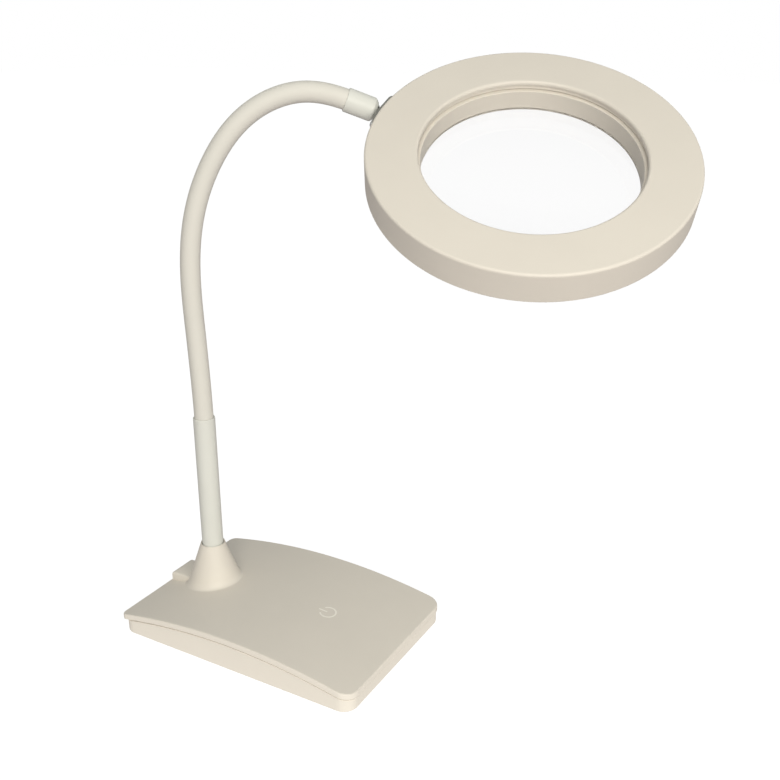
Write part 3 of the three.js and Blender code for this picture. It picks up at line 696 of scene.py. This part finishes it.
def build_ferrules():
    top = FERRULE_HIGH.z
    hidden = BOOT_TOP - 8 * MM
    bore = SLEEVE_R + 0.1 * MM
    profile = [
        (4 * MM, hidden, 0),
        (FERRULE_R, hidden, 0),
        (FERRULE_R, top - 2 * MM, 0),
        (FERRULE_R, top, 0.45 * MM),
        (bore, top, 0.15 * MM),
        (bore, top - 6 * MM, 0),
        (4 * MM, top - 6 * MM, 0),
    ]
    foot = Matrix.Translation((NECK_FOOT.x, NECK_FOOT.y, 0))
    tube = revolve("ferrule_lower", soft_corners(profile), foot, 72)
    settle(tube, "ferrule", "base", "lower_ferrule")

    side = END_AXIS.orthogonal().normalized()
    end = frame_of(BALL, side, END_AXIS.cross(side), END_AXIS)
    room = BALL_R + 0.3 * MM
    slope = 1.8 * MM
    lip_angle = math.asin(UPPER_HIGH / room)
    profile = [
        (bore, UPPER_LOW, 0.1 * MM),
        (FERRULE_R, UPPER_LOW, 0.45 * MM),
        (FERRULE_R, UPPER_HIGH - slope, 1.5 * MM),
        (FERRULE_R - slope, UPPER_HIGH, 0.35 * MM),
    ]
    profile += [(room * math.cos(t), room * math.sin(t), 0) for t in np.linspace(lip_angle, 0, 8)]
    throat = -7.5 * MM
    profile += [(room, throat, 0), (bore, throat, 0)]
    tube = revolve("ferrule_upper", soft_corners(profile, 8), end, 72)
    settle(tube, "ferrule", "neck_7", "upper_ferrule")


# ---- head --------------------------------------------------------------------------------
def build_ring():
    """The ring's pieces, each a profile of (radius, height, rounding) in millimetres."""
    cover = [
        (54.9, -4.6, 0.1),
        (56.1, -4.6, 0.2),
        (56.1, -2, 0.3),
        (78, -2, 0.6),
        (78, -17, 0.3),
        (79.83, -17, 0.4),
        (79.83, 0, 1.3),
        (54.2, 0, 1.4),
        (54.2, -2.2, 0.1),
        (54.9, -2.2, 0.1),
    ]
    inner_wall = [
        (53.1, -14.95, 0),
        (54.7, -14.9, 0.2),
        (54.7, -6.7, 0.3),
        (77.6, -6.7, 0.3),
        (77.6, -5.2, 0.3),
        (53.1, -5.2, 0.25),
    ]
    diffuser = [
        (55.1, -16.5, 0.3),
        (77.6, -16.5, 0.3),
        (77.6, -15.3, 0.2),
        (55.1, -15.3, 0.2),
    ]
    clamp = [
        (53.1, -17.8, 0.3),
        (54.7, -17.8, 0.3),
        (54.7, -16.45, 0.1),
        (53.1, -16.45, 0.05),
    ]
    for name, profile, slot, node in (
        ("ring_cover", cover, "casing", "head_top_cover"),
        ("ring_inner_wall", inner_wall, "casing", "head_chassis"),
        ("diffuser_plate", diffuser, "milky", "diffuser"),
        ("lens_clamp", clamp, "casing", "lens_retainer"),
    ):
        settle(revolve(name, soft_corners(in_mm(profile)), HEAD), slot, "head", node)


def build_lens():
    """Flat below, bulging above."""
    radius, flat, edge, sag = (v * MM for v in (54.1, -16.4, 1.2, 6))
    face = (radius * radius + sag * sag) / (2 * sag)
    bevel = 0.15 * MM
    steps = 26

    def bulge(r):
        return math.sqrt(face * face - r * r) - (face - sag)

    profile = [(radius * k / steps, flat) for k in range(1, steps)]
    profile += [(radius - bevel, flat), (radius, flat + bevel), (radius, flat + edge - bevel)]
    profile.append((radius - bevel, flat + edge + bulge(radius - bevel)))
    for k in range(steps - 1, 0, -1):
        r = radius * k / steps
        profile.append((r, flat + edge + bulge(r)))
    settle(revolve("magnifier", profile, HEAD, closed=False), "lens_glass", "head", "lens")


def build_plate():
    """A plate that follows the ring's wall, thins towards its ends and has rounded corners."""
    low, high = -13.6 * MM, -2.4 * MM
    half_width = 12 * MM
    wall, thickness, end_thickness = (v * MM for v in (80.3, 2.4, 1.5))
    middle_z = (low + high) / 2
    half_height = (high - low) / 2
    corner = 4.5 * MM
    edge = 0.5 * MM
    per_corner = 8

    def wall_y(x):
        return math.sqrt(wall * wall - x * x)

    fall = wall + thickness - wall_y(half_width) - end_thickness
    face = (half_width**2 + fall**2) / (2 * fall)

    def depth(x):
        return wall + thickness - face + math.sqrt(face * face - x * x) - wall_y(x)

    def plate_loop(inset, raised, share=1.0):
        loop = []
        for heading, sx, sz in ((-90, 1, -1), (0, 1, 1), (90, -1, 1), (180, -1, -1)):
            for k in range(per_corner + 1):
                angle = math.radians(heading + 90 * k / per_corner)
                x = (sx * (half_width - corner) + (corner - inset) * math.cos(angle)) * share
                z = (sz * (half_height - corner) + (corner - inset) * math.sin(angle)) * share
                loop.append((x, wall_y(x) + depth(x) * raised, middle_z + z))
        return loop

    shares = [0.15, 0.4, 0.6, 0.8]
    loops = [plate_loop(0, 0, s) for s in shares]
    loops.append(plate_loop(0, 0))
    for inset, drop in reversed(quarter_round(edge, 4)):
        loops.append(plate_loop(inset, 1 - 0.4 * drop / edge))
    loops += [plate_loop(edge, 1, s) for s in reversed(shares)]
    settle(loft("rim_plate", loops, matrix=HEAD), "bracket", "head", "rim_bracket")


def build_stud():
    to_ball = HEAD.inverted() @ BALL
    outward = Matrix.Translation((0, 0, to_ball.z)) @ Matrix.Rotation(-math.pi / 2, 4, "X")
    shank = 1.6 * MM
    start = math.pi - math.asin(shank / BALL_R)
    profile = [(shank, 74.6 * MM), (shank, 82.6 * MM)]
    for t in np.linspace(start, 0.02, 28):
        profile.append((BALL_R * math.sin(t), to_ball.y + BALL_R * math.cos(t)))
    stud = revolve("ball_and_stud", profile, HEAD @ outward, 48, closed=False)
    settle(stud, "chrome", "head", "ball_stud")


def build_plate_screw(number, x):
    head_height = 1.3 * MM
    outward = HEAD.col[1].xyz
    seat = extent_along(f"bracket_screw_{number}", HEAD.translation, outward)[1] - head_height
    place = HEAD @ Matrix.Translation((x, 0, -8.9 * MM)) @ Matrix.Rotation(-math.pi / 2, 4, "X")
    screw = soft_corners([
        (0.02 * MM, seat - 4 * MM, 0),
        (0.9 * MM, seat - 4 * MM, 0),
        (0.9 * MM, seat, 0),
        (1.9 * MM, seat, 0.1 * MM),
        (1.9 * MM, seat + head_height, 0.6 * MM),
        (0.02 * MM, seat + head_height, 0),
    ])
    piece = revolve(f"plate_screw_{number}", screw, place, 36, closed=False)
    for quarter in (0, 1):
        low_corner = Vector((-1.1 * MM, -0.22 * MM, seat + 0.6 * MM))
        high_corner = Vector((1.1 * MM, 0.22 * MM, seat + 3 * MM))
        cutter = rounded_box("cutter", low_corner, high_corner, 0.05 * MM, 1)
        cutter.data.transform(place @ Matrix.Rotation(quarter * math.pi / 2, 4, "Z"))
        carve(piece, cutter)
    settle(piece, "chrome", "head", f"bracket_screw_{number}")


def build_joint():
    build_plate()
    build_stud()
    build_plate_screw(1, -8 * MM)
    build_plate_screw(2, 8 * MM)


# ---- the CAD nodes that stay -----------------------------------------------------------------
def finish_carried_nodes():
    """Gives each CAD node that no piece replaces the finish its record names."""
    for subpart in frame["record"]["subparts"]:
        node = frame["nodes"][subpart["node"]]
        if subpart["node"] not in REPLACED:
            node.data.materials.clear()
            node.data.materials.append(MATERIALS[subpart["material_slot"]])


# ---- strength and colour of the light ------------------------------------------------------------
LIGHT_ABOVE = (0.39, 0.395, 0.38)
LIGHT_BELOW = (0.37, 0.345, 0.34)
LAMP_COLOUR = (1, 0.97, 0.88)
TABLE_GLOW = (0.9, 0.87, 0.83)
KEY_STRENGTH = 0.46
FRONT_STRENGTH = 0.30


# ---- stage, light and camera ------------------------------------------------------------------
def build_stage():
    half = 6.0
    floor = make_object("floor", [(-half, -half, 0), (half, -half, 0), (half, half, 0), (-half, half, 0)],
                        [(0, 1, 2, 3)])
    floor.visible_diffuse = False
    floor.visible_glossy = False
    floor.visible_transmission = False
    surface = Surface("pale_floor", Specular_IOR_Level=0.1)
    surface.colour((0.2, 0.2, 0.2), 0.002, 0.5)
    surface.roughness(0.8, 0.85, 0.5)
    surface.shader.inputs["Emission Color"].default_value = (1, 1, 1, 1)
    surface.shader.inputs["Emission Strength"].default_value = 0.93
    floor.data.materials.append(surface.material)


def build_table_glow():
    """The light that the table just round the base throws back on its sides."""
    radius = 0.15
    sides = 48
    rim = [(radius * math.cos(FULL_TURN * k / sides), radius * math.sin(FULL_TURN * k / sides), -0.5 * MM)
           for k in range(sides)]
    patch = make_object("table_glow", rim, [tuple(range(sides))])
    patch.visible_camera = False
    patch.visible_glossy = False
    patch.visible_transmission = False
    patch.visible_shadow = False
    surface = Surface("table_glow")
    surface.shader.inputs["Base Color"].default_value = (0, 0, 0, 1)
    surface.shader.inputs["Emission Color"].default_value = (*TABLE_GLOW, 1)
    surface.shader.inputs["Emission Strength"].default_value = 1.0
    patch.data.materials.append(surface.material)


def build_world():
    """Light from all round: one colour from above and one from below, and plain white to look at."""
    world = bpy.data.worlds.new("studio")
    bpy.context.scene.world = world
    world.use_nodes = True
    nodes, links = world.node_tree.nodes, world.node_tree.links
    split = nodes.new("ShaderNodeSeparateXYZ")
    links.new(nodes.new("ShaderNodeTexCoord").outputs["Generated"], split.inputs["Vector"])
    height = nodes.new("ShaderNodeMapRange")
    height.inputs["From Min"].default_value = -0.05
    height.inputs["From Max"].default_value = 0.05
    links.new(split.outputs["Z"], height.inputs["Value"])
    tone = nodes.new("ShaderNodeMix")
    tone.data_type = "RGBA"
    tone.inputs["A"].default_value = (*LIGHT_BELOW, 1)
    tone.inputs["B"].default_value = (*LIGHT_ABOVE, 1)
    links.new(height.outputs["Result"], tone.inputs["Factor"])
    background = nodes["Background"]
    background.inputs["Strength"].default_value = 1.0
    links.new(tone.outputs["Result"], background.inputs["Color"])
    bright = nodes.new("ShaderNodeBackground")
    bright.inputs["Color"].default_value = (1, 1, 1, 1)
    bright.inputs["Strength"].default_value = 1.0
    rays = nodes.new("ShaderNodeLightPath")
    seen = nodes.new("ShaderNodeMath")
    seen.operation = "MAXIMUM"
    links.new(rays.outputs["Is Camera Ray"], seen.inputs[0])
    links.new(rays.outputs["Is Transmission Ray"], seen.inputs[1])
    direct = nodes.new("ShaderNodeMath")
    direct.operation = "LESS_THAN"
    direct.inputs[1].default_value = 0.5
    links.new(rays.outputs["Diffuse Depth"], direct.inputs[0])
    both = nodes.new("ShaderNodeMath")
    both.operation = "MULTIPLY"
    links.new(seen.outputs["Value"], both.inputs[0])
    links.new(direct.outputs["Value"], both.inputs[1])
    mix = nodes.new("ShaderNodeMixShader")
    links.new(both.outputs["Value"], mix.inputs["Fac"])
    links.new(background.outputs["Background"], mix.inputs[1])
    links.new(bright.outputs["Background"], mix.inputs[2])
    links.new(mix.outputs["Shader"], nodes["World Output"].inputs["Surface"])


def build_lamp(name, towards, strength):
    """A round soft light on the line from the lamp's middle towards a direction, aimed back along it."""
    distance = 1.2
    towards = Vector(towards).normalized()
    middle = Vector((0, -0.03, 0.15))
    light = bpy.data.lights.new(name, "AREA")
    light.shape = "DISK"
    light.size = 0.55
    light.color = LAMP_COLOUR
    light.energy = strength * math.pi**2 * distance**2
    lamp = bpy.data.objects.new(name, light)
    lamp.location = middle + towards * distance
    lamp.rotation_euler = (-towards).to_track_quat("-Z", "Y").to_euler()
    bpy.context.scene.collection.objects.link(lamp)


def build_camera():
    place = Vector((-385.71, -289.90, 321.72)) * MM
    heading = math.radians(29.662)  # of the view direction, from +X towards +Y
    dip = math.radians(20.428)
    forward = Vector((math.cos(heading) * math.cos(dip), math.sin(heading) * math.cos(dip), -math.sin(dip)))
    camera = bpy.data.cameras.new("camera")
    camera.sensor_width = 36
    camera.lens = 45.07
    camera.clip_start = 0.01
    eye = bpy.data.objects.new("camera", camera)
    eye.location = place
    eye.rotation_euler = forward.to_track_quat("-Z", "Y").to_euler()
    bpy.context.scene.collection.objects.link(eye)
    bpy.context.scene.camera = eye
    bpy.context.scene.view_settings.view_transform = "Standard"


build_lid()
build_port()
build_tray()
build_pad()
build_switch_mark()
build_ferrules()
build_sleeve()
build_ring()
build_lens()
build_joint()
finish_carried_nodes()
build_stage()
build_table_glow()
build_world()
build_lamp("key", (-0.783, -0.445, 0.436), KEY_STRENGTH)
build_lamp("front", (-0.45, -0.85, 0.3), FRONT_STRENGTH)
build_camera()
